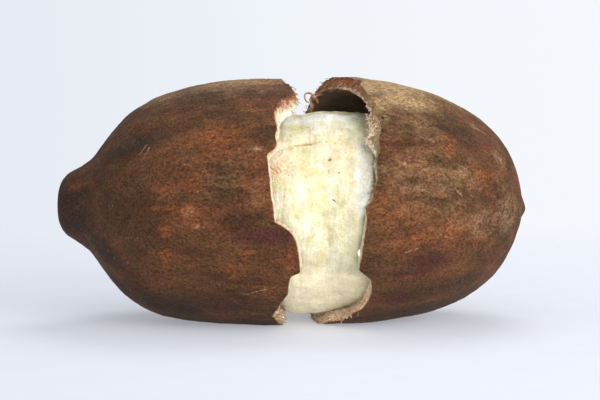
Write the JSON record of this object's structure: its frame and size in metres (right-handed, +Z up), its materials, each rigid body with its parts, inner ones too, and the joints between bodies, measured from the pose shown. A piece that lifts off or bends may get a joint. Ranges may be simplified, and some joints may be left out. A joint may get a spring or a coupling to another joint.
{
  "type": "cupuacu fruit",
  "caption": "Large oblong brown fruit lying on its side, its woody shell cracked open round the middle over a mass of cream pulp.",
  "frame": {"origin": "on the table that the fruit lies on, under the middle of the fruit's box", "axes": "+X along the fruit from the stem end to the tip, +Z up, -Y the side that the picture shows"},
  "size_m": [0.2247, 0.1209, 0.1173],
  "materials": {
    "shell": "matte",
    "pulp": "satin"
  },
  "bodies": {
    "root": {"shell_stem_half": "shell", "shell_tip_half": "shell", "pulp": "pulp"}
  },
  "joints": []
}
